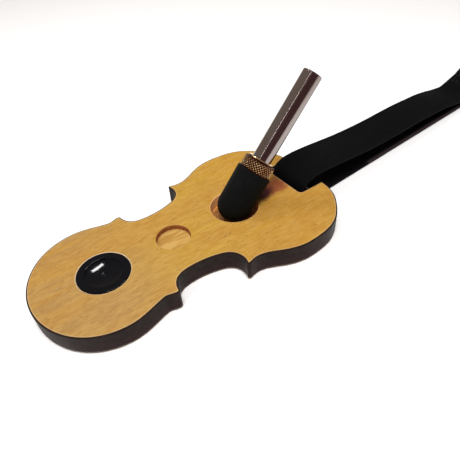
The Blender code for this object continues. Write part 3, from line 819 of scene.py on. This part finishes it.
CUP_RADIUS = 0.0124
CUP_EDGE_ROUND = 0.0003
BOWL_RADIUS = 0.009
BOWL_WALL_RADIUS = 0.0085
BOWL_WALL_DEPTH = 0.0007
BOWL_DEPTH = 0.0018
DIMPLE_RADIUS = 0.0013
DIMPLE_DEPTH = 0.0003


def bowl_profile(top):
    """Middle dimple, shallow dish, short steep wall and eased lip, from the middle outwards."""
    points = [(0.0, top - BOWL_DEPTH - DIMPLE_DEPTH)]
    for step in range(1, 7):
        rise = DIMPLE_DEPTH * (0.5 - 0.5 * math.cos(math.pi * step / 6))
        points.append((DIMPLE_RADIUS * step / 6, top - BOWL_DEPTH - DIMPLE_DEPTH + rise))
    fall = BOWL_DEPTH - BOWL_WALL_DEPTH
    for step in range(1, 20):
        radius = DIMPLE_RADIUS + (BOWL_WALL_RADIUS - DIMPLE_RADIUS) * step / 20
        points.append((radius, top - BOWL_DEPTH + fall * (radius / BOWL_WALL_RADIUS) ** 2))
    foot = arc((BOWL_WALL_RADIUS - 0.0002, top - BOWL_WALL_DEPTH + 0.0002), 0.0002, -60, 0, 3)
    lip = arc((BOWL_RADIUS, top - 0.0004), 0.0004, 180, 90, 5)
    return points + foot + lip


def cup_profile():
    """Bowl, gently crowned rim, rounded outer edge and outer wall."""
    bottom, top = CUP_LOW.z, CUP_HIGH.z
    points = bowl_profile(top)
    for step in range(1, 6):
        share = step / 6
        radius = BOWL_RADIUS + (CUP_RADIUS - CUP_EDGE_ROUND - BOWL_RADIUS) * share
        points.append((radius, top - 0.0001 * (1 - math.sin(math.pi * share))))
    points += arc((CUP_RADIUS - CUP_EDGE_ROUND, top - CUP_EDGE_ROUND), CUP_EDGE_ROUND, 90, 0, 6)
    return points + [(CUP_RADIUS, bottom), (0.0, bottom)]


def make_cup():
    mesh = turned("gloss_cup", cup_profile(), 128)
    mesh.transform(Matrix.Translation((SEATS[0][0], 0.0, 0.0)))
    new_piece("gloss_cup", mesh, cup_material(), "board", ["cup_insert"])


# ---------------------------------------------------------------- endpin, boot and collar

ROD_RADIUS = 0.005
ROD_START = 0.003
ROD_END = 0.0735
SPIKE_SHANK_RADIUS = 0.002
SPIKE_SHANK_LENGTH = 0.01
SPIKE_RADIUS = 0.0034
SPIKE_POINT = -0.0026
BOOT_BASE_RADIUS = 0.0089
BOOT_TOP_RADIUS = 0.0091
BOOT_TOP = 0.0197
BOOT_BASE_ROUND = 0.0086
COLLAR_RADIUS = 0.0083
COLLAR_LIP_RADIUS = 0.0066
COLLAR_HEIGHT = 0.0056
COLLAR_LIP_HEIGHT = 0.0011
COLLAR_SPIGOT_RADIUS = 0.0067
COLLAR_SPIGOT_LENGTH = 0.006
KNURL_COUNT = 32
KNURL_STEPS = 8
KNURL_DEPTH = 0.00045


def place_on_endpin(piece, body):
    piece.matrix_world = endpin_matrix()
    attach(piece, body)


def turned_on_endpin(name, profile, steps, material, node):
    place_on_endpin(new_piece(name, turned(name, profile, steps), material, None, [node]), "endpin")


def make_rod():
    hole = SPIKE_SHANK_RADIUS + GAP
    hole_top = ROD_START + SPIKE_SHANK_LENGTH + GAP
    chamfer = 0.0006
    bead = arc((ROD_RADIUS - chamfer, ROD_END - chamfer), chamfer, 90, 0, 4)
    profile = [(0.0, ROD_END)] + bead + [(ROD_RADIUS, ROD_START + 0.0002), (ROD_RADIUS - 0.0002, ROD_START),
                                         (hole, ROD_START), (hole, hole_top), (0.0, hole_top)]
    base, warm = (0.33, 0.285, 0.27), (0.285, 0.235, 0.215)
    material = steel_material("rod_steel", base, warm, 0.12, 0.2, 0.0000008)
    turned_on_endpin("polished_rod", profile, 128, material, "endpin_rod")


def make_spike():
    shoulder = ROD_START - GAP
    top = ROD_START + SPIKE_SHANK_LENGTH
    shank = SPIKE_SHANK_RADIUS
    profile = [(0.0, top), (shank, top), (shank, shoulder), (SPIKE_RADIUS, shoulder),
               (SPIKE_RADIUS, shoulder - 0.001), (0.0004, SPIKE_POINT), (0.0, SPIKE_POINT)]
    material = steel_material("spike_steel", (0.3, 0.3, 0.31), (0.24, 0.22, 0.2), 0.3, 0.45, 0.00002)
    turned_on_endpin("ground_spike", profile, 64, material, "endpin_spike")


def make_boot():
    """Moulded rubber boot: eased lip, plain conical side, rounded foot."""
    bore = ROD_RADIUS + GAP
    pocket = COLLAR_SPIGOT_RADIUS + GAP
    pocket_floor = BOOT_TOP - COLLAR_SPIGOT_LENGTH - GAP
    floor = ROD_START - 0.0014
    inner = [(0.0, SPIKE_POINT - 0.0005), (0.0008, SPIKE_POINT - 0.0005), (SPIKE_RADIUS + 0.0005, floor),
             (bore, floor), (bore, pocket_floor), (pocket, pocket_floor), (pocket, BOOT_TOP - 0.0002),
             (pocket + 0.0002, BOOT_TOP)]
    lip = arc((BOOT_TOP_RADIUS - 0.0006, BOOT_TOP - 0.0006), 0.0006, 90, 0, 6)
    side = []
    for step in range(1, 12):
        part = step / 12
        radius = BOOT_TOP_RADIUS + (BOOT_BASE_RADIUS - BOOT_TOP_RADIUS) * part
        side.append((radius, (BOOT_TOP - 0.0006) * (1 - part)))
    foot = arc((BOOT_BASE_RADIUS - BOOT_BASE_ROUND, 0.0), BOOT_BASE_ROUND, 0, -90, 18)
    profile = inner + lip + side + foot + [(0.0, -BOOT_BASE_ROUND)]
    base, wear_and_edge_light = (0.0026, 0.0031, 0.0032), (0.0046, 0.005, 0.0052)
    material = rubber_material("boot_rubber", base, wear_and_edge_light, 0.66, 0.00004)
    turned_on_endpin("moulded_boot", profile, 128, material, "rubber_boot")


def knurl_height(turns, rise):
    """Depth below the diamonds' points, 0 at a point and 1 in a groove."""
    first = abs((turns + rise) % 1.0 - 0.5) * 2.0
    second = abs((turns - rise) % 1.0 - 0.5) * 2.0
    return 1.0 - min(first, second)


def collar_rings(bottom, top):
    """(radius, height, knurl depth share, patina and painted shade) down the outer side of the collar, then
    up its bore.
    """
    bore = ROD_RADIUS + GAP
    lip_top = top + COLLAR_LIP_HEIGHT
    ease = 0.00015
    # The last number darkens the unknurled rings, the chamfer and the band's ends as painted shade, partly
    # patina.
    rings = [(bore, lip_top - ease, 0.0, 0.5), (bore + ease, lip_top, 0.0, 0.0),
             (COLLAR_LIP_RADIUS - ease, lip_top, 0.0, 0.0), (COLLAR_LIP_RADIUS, lip_top - ease, 0.0, 0.4),
             (COLLAR_LIP_RADIUS + 0.0002, top + 0.0003, 0.0, 0.9), (COLLAR_RADIUS - 0.0005, top, 0.0, 0.9)]
    pitch = 2 * math.pi * COLLAR_RADIUS / KNURL_COUNT
    count = round(COLLAR_HEIGHT / pitch * KNURL_STEPS)
    for step in range(count + 1):
        share = step / count
        fade = min(1.0, 10 * share, 10 * (1 - share))
        rings.append((COLLAR_RADIUS - 0.0003 * (1 - fade), top - COLLAR_HEIGHT * share, fade, 0.9))
    foot = BOOT_TOP - COLLAR_SPIGOT_LENGTH
    inner = [(COLLAR_SPIGOT_RADIUS, bottom), (COLLAR_SPIGOT_RADIUS, foot), (bore, foot)]
    return rings + [(radius, height, 0.0, 0.9) for radius, height in inner]


def make_collar():
    bottom = BOOT_TOP + GAP
    rings = collar_rings(bottom, bottom + COLLAR_HEIGHT)
    steps = KNURL_COUNT * KNURL_STEPS
    pitch = 2 * math.pi * COLLAR_RADIUS / KNURL_COUNT
    edit = bmesh.new()
    depth_layer = edit.verts.layers.float.new("groove")
    grid = []
    for radius, height, share, tarnish_and_shade in rings:
        row = []
        for step in range(steps):
            depth = knurl_height(step / KNURL_STEPS, height / pitch)
            reach = radius - KNURL_DEPTH * depth * share
            angle = 2 * math.pi * step / steps
            vert = edit.verts.new((reach * math.cos(angle), reach * math.sin(angle), height))
            # Knurl depth gives patina in the grooves; elsewhere the stored value is painted shade, partly
            # patina.
            vert[depth_layer] = depth * share + tarnish_and_shade * (1 - share)
            row.append(vert)
        grid.append(row)
    for upper, lower in zip(grid, grid[1:] + grid[:1]):
        for step in range(steps):
            after = (step + 1) % steps
            edit.faces.new((upper[step], lower[step], lower[after], upper[after]))
    mesh = finished_mesh("diamond_collar", edit)
    smooth_faces(mesh, 40.0)
    collar = new_piece("diamond_collar", mesh, brass_material(), None, ["knurled_collar"])
    place_on_endpin(collar, "collar")


# ---------------------------------------------------------------- strap

RIB_COUNT = 9
RIB_STEPS = 6
RIB_DEPTH = 0.00005
WEB_STEP = 0.0012


def web_section():
    """Closed cross-section of the webbing as (across, height), anticlockwise, ribbed on both faces."""
    half = WEB_WIDTH / 2
    thick = WEB_THICKNESS / 2
    flat = half - thick
    count = RIB_COUNT * RIB_STEPS
    face = []
    for step in range(count + 1):
        across = -flat + 2 * flat * step / count
        groove = 0.5 + 0.5 * math.cos(2 * math.pi * step / RIB_STEPS)
        face.append((across, thick - RIB_DEPTH * groove))
    right = [(flat + thick * math.cos(angle), thick * math.sin(angle))
             for angle in (math.radians(degrees) for degrees in (60, 30, 0, -30, -60))]
    lower = [(across, -height) for across, height in reversed(face)]
    left = [(-across, -height) for across, height in right]
    return face + right + lower + left


def ribbon(name, path, start_length):
    """Webbing that follows a path of (s, z), with its length and width in metres as the UV map."""
    section = web_section()
    frame_turn = strap_matrix()
    edit = bmesh.new()
    uv_layer = edit.loops.layers.uv.new("UVMap")
    rings = []
    lengths = []
    length = start_length
    for index, point in enumerate(path):
        before = path[max(0, index - 1)]
        after = path[min(len(path) - 1, index + 1)]
        along = (after - before).normalized()
        length += (point - before).length
        lengths.append(length)
        ring = []
        for across, height in section:
            place = Vector((point.x - along.y * height, across, point.y + along.x * height))
            ring.append(edit.verts.new(frame_turn @ place))
        rings.append(ring)
    count = len(section)
    for station in range(len(rings) - 1):
        for index in range(count):
            after = (index + 1) % count
            face = edit.faces.new((rings[station][index], rings[station + 1][index],
                                   rings[station + 1][after], rings[station][after]))
            ends = ((station, index), (station + 1, index), (station + 1, after), (station, after))
            for loop, (row, column) in zip(face.loops, ends):
                loop[uv_layer].uv = (lengths[row], section[column][0])
    edit.faces.new(rings[0])
    edit.faces.new(rings[-1][::-1])
    bmesh.ops.recalc_face_normals(edit, faces=edit.faces)
    mesh = finished_mesh(name, edit)
    smooth_faces(mesh, 50.0)
    return mesh


def path_length(path):
    return sum((b - a).length for a, b in zip(path, path[1:]))


def cut_path(path, s_value):
    """The two parts of a path on either side of the place where it first crosses s_value."""
    for index in range(len(path) - 1):
        a, b = path[index], path[index + 1]
        if (a.x - s_value) * (b.x - s_value) <= 0.0 and a.x != b.x:
            cut = a.lerp(b, (s_value - a.x) / (b.x - a.x))
            return path[:index + 1] + [cut], [cut] + path[index + 1:]
    raise ValueError("the path never reaches that place")


def fold_over_bar():
    """Sewn end: back leg, then round the slider's middle bar, at the webbing's middle."""
    radius = SLIDER_BAR_RADIUS + GAP + WEB_THICKNESS / 2
    back_leg = [(-0.0235, 0.0031), (-0.02, 0.0036), (-0.016, 0.0049), (-0.011, 0.0063),
                (-0.0078, 0.0063), (-0.0044, 0.0051)]
    turn = arc((0.0, SLIDER_MIDDLE_BAR_Z), radius, -110, 100, 7)
    return [(SLIDER_S + s, z) for s, z in back_leg + turn]


def upper_route():
    """Upper ply from the fold over the slider's middle bar back to the pin."""
    behind_slider = [(-0.01, 0.0083), (-0.016, 0.007), (-0.02, 0.006), (-0.024, 0.0051),
                     (-0.0325, 0.0032), (-0.04, 0.004)]
    to_pin = [(0.15, 0.0049), (0.142, 0.0065), (0.13, 0.0083), (0.117, 0.0092),
              (0.104, 0.01), (0.09, 0.0103), (0.078, 0.0103), (0.068, 0.0106),
              (0.057, 0.0111), (0.046, 0.0119), (0.035, 0.0131), (0.024, 0.0144),
              (0.014, 0.0154), (0.007, 0.0157)]
    return [(SLIDER_S + s, z) for s, z in behind_slider] + to_pin


def pin_bend():
    """Loose bend that rises in front of the pin and runs back under it."""
    return [(0.0015, 0.0152), (-0.0032, 0.013), (-0.0055, 0.0094), (-0.0058, 0.0054),
            (-0.004, 0.0021), (0.001, PLY_1_Z)]


def running_route():
    """Stretch that rides over both outer bars of the slider and dips under the middle one."""
    over = SLIDER_OUTER_BAR_Z + SLIDER_BAR_RADIUS + GAP + WEB_THICKNESS / 2
    near = SLIDER_S - SLIDER_BAR_PITCH
    far = SLIDER_S + SLIDER_BAR_PITCH
    return [(RUNNING_START, PLY_1_Z), (near - 0.008, PLY_1_Z + 0.0001), (near - 0.0047, 0.0024),
            (near - 0.0016, over - 0.0001), (near + 0.001, over), (near + 0.0045, 0.0024),
            (SLIDER_S - 0.001, PLY_1_Z), (SLIDER_S + 0.001, PLY_1_Z), (far - 0.0045, 0.0024),
            (far - 0.001, over), (far + 0.0016, over - 0.0001), (far + 0.0047, 0.0024),
            (far + 0.0077, PLY_1_Z + 0.0001), (RUNNING_END, PLY_1_Z)]


def eye_route():
    """Eye for the chair's leg: out along the floor, back over the top and down to the seam."""
    second = PLY_1_Z + PLY_PITCH
    middle = (EYE_SEAM_END + EYE_END) / 2
    return [(TAIL_END, PLY_1_Z), (EYE_SEAM_END, PLY_1_Z), (middle, PLY_1_Z),
            (EYE_END - 0.011, PLY_1_Z + 0.0002), (EYE_END - 0.0035, 0.004), (EYE_END, 0.01),
            (EYE_END - 0.003, 0.016), (EYE_END - 0.012, EYE_HEIGHT - 0.0012),
            (middle, EYE_HEIGHT - 0.003), (EYE_SEAM_END + 0.01, 0.0095),
            (EYE_SEAM_END + 0.002, second + 0.001), (EYE_SEAM_END - 0.003, second),
            (TAIL_END + 0.0015, second)]


def straight_run(start, end):
    steps = round((end - start) / WEB_STEP)
    return [Vector((start + (end - start) * step / steps, PLY_1_Z)) for step in range(steps + 1)]


def strap_paths():
    """Each stretch of the strap as a path, in the order that the webbing runs."""
    floor_run = [(0.02, PLY_1_Z), (PIN_LOOP_END, PLY_1_Z), (1.6 * PIN_LOOP_END, PLY_1_Z)]
    folded = smooth_path(fold_over_bar() + upper_route() + pin_bend() + floor_run, WEB_STEP)
    upper, rest = cut_path(folded, PIN_LOOP_END)
    loop, _ = cut_path(rest[1:], PIN_LOOP_END)
    return {
        "web_upper_ply": upper,
        "web_pin_loop": rest[:1] + loop,
        "web_lower_ply": straight_run(PIN_LOOP_END, RUNNING_START),
        "web_running_ply": smooth_path(running_route(), WEB_STEP / 2),
        "web_tail": straight_run(RUNNING_END, TAIL_END),
        "web_chair_eye": smooth_path(eye_route(), WEB_STEP),
    }


THREAD_RADIUS = 0.00022
STITCH_PITCH = 0.0027
STITCH_STEPS = 6
STITCH_SIDES = 8
FOLD_SEAM = (SLIDER_S - 0.0232, SLIDER_S - 0.015)
EYE_SEAM = (TAIL_END + 0.0036, EYE_SEAM_END - 0.0046)
SEAM_HALF_WIDTH = 0.0095


def on_cloth(path, s, across):
    """Place and upward direction on the top face of the webbing's highest layer at s."""
    best = None
    for a, b in zip(path, path[1:]):
        if (a.x - s) * (b.x - s) <= 0.0 and a.x != b.x:
            middle = a.lerp(b, (s - a.x) / (b.x - a.x))
            if best is None or middle.y > best[0].y:
                best = (middle, (b - a).normalized())
    middle, along = best
    up = Vector((-along.y, 0.0, along.x)) * math.copysign(1.0, along.x)
    return Vector((middle.x, across, middle.y)) + up * (WEB_THICKNESS / 2), up


def add_stitch(edit, start, end, up):
    """One strand that rises out of the cloth and dips back into it."""
    side = up.cross(end - start).normalized()
    rings = []
    for step in range(STITCH_STEPS + 1):
        share = step / STITCH_STEPS
        centre = start.lerp(end, share) + up * THREAD_RADIUS * (1.7 * math.sin(math.pi * share) - 1.2)
        ring = []
        for turn in range(STITCH_SIDES):
            angle = 2 * math.pi * turn / STITCH_SIDES
            out = side * math.cos(angle) + up * math.sin(angle)
            ring.append(edit.verts.new(centre + out * THREAD_RADIUS))
        rings.append(ring)
    join_rings(edit, rings)
    edit.faces.new(rings[0][::-1])
    edit.faces.new(rings[-1])


def box_stitch(name, path, seam, body, material):
    """Box of stitches with a cross inside it, sewn through the top layer of webbing."""
    near, far = seam
    half = SEAM_HALF_WIDTH
    corners = [(near, -half), (far, -half), (far, half), (near, half)]
    lines = list(zip(corners, corners[1:] + corners[:1]))
    lines += [(corners[0], corners[2]), (corners[1], corners[3])]
    edit = bmesh.new()
    for (s_1, y_1), (s_2, y_2) in lines:
        count = max(2, round(math.hypot(s_2 - s_1, y_2 - y_1) / STITCH_PITCH))
        for index in range(count):
            ends = []
            for share in ((index + 0.1) / count, (index + 0.9) / count):
                ends.append(on_cloth(path, s_1 + (s_2 - s_1) * share, y_1 + (y_2 - y_1) * share))
            add_stitch(edit, ends[0][0], ends[1][0], ends[0][1])
    bmesh.ops.transform(edit, matrix=strap_matrix(), verts=edit.verts)
    bmesh.ops.recalc_face_normals(edit, faces=edit.faces)
    mesh = finished_mesh(name, edit)
    smooth_faces(mesh, 50.0)
    new_piece(name, mesh, material, body)


def make_stitches():
    paths = strap_paths()
    thread = thread_material()
    box_stitch("stitches_fold", paths["web_upper_ply"], FOLD_SEAM, "slider", thread)
    box_stitch("stitches_eye", paths["web_chair_eye"], EYE_SEAM, "eye", thread)


def finish_slider():
    """Moulded nylon with eased edges on the slider, which keeps its own shape."""
    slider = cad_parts["strap_slider"]
    slider.data.materials.clear()
    slider.data.materials.append(nylon_material())
    bevel = slider.modifiers.new("eased_edges", "BEVEL")
    bevel.width = 0.0005
    bevel.segments = 3
    bevel.limit_method = "ANGLE"
    bevel.angle_limit = math.radians(40.0)


def make_strap():
    """The strap's six stretches: a stretch with one body rides on it; a stretch between two bodies stays
    fixed where it lies.
    """
    black = webbing_material("webbing_black", (0.004, 0.0036, 0.004), 0.0108)
    wear_and_edge_light = webbing_material("webbing_lit_edge", (0.036, 0.025, 0.027), 0.0096)
    joins = {
        "web_upper_ply": ("strap_upper_ply", "strap", "slider", 0.06, 0.164, ["strap_slider"]),
        "web_pin_loop": ("strap_pin_loop", "board", "strap", 0.008, 0.048, ["strap_pin"]),
        "web_lower_ply": ("strap_lower_ply", "strap", "slider", 0.06, 0.174, ["floor"]),
        "web_running_ply": ("strap_running_ply", "slider", None, 0.0, 0.0, ["strap_slider"]),
        "web_tail": ("strap_tail", "slider", "eye", RUNNING_END + 0.001, TAIL_END - 0.001, ["floor"]),
        "web_chair_eye": ("chair_eye", "eye", None, 0.0, 0.0, ["floor"]),
    }
    run = 0.0
    for name, path in strap_paths().items():
        node, first, second, start, end, rests_on = joins[name]
        # The lower ply, running ply and tail take the painted highlight along their near edge.
        material = wear_and_edge_light if name in ("web_lower_ply", "web_running_ply", "web_tail") else black
        piece = new_piece(name, ribbon(name, path, run), material, None, [node])
        length = path_length(path)
        run += length
        if second:
            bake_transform(piece)
        else:
            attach(piece, first)


make_camera()
make_studio()
make_floor()
make_board()
make_sole()
make_pin()
make_cup()
make_rod()
make_spike()
make_boot()
make_collar()
make_strap()
make_stitches()
finish_slider()
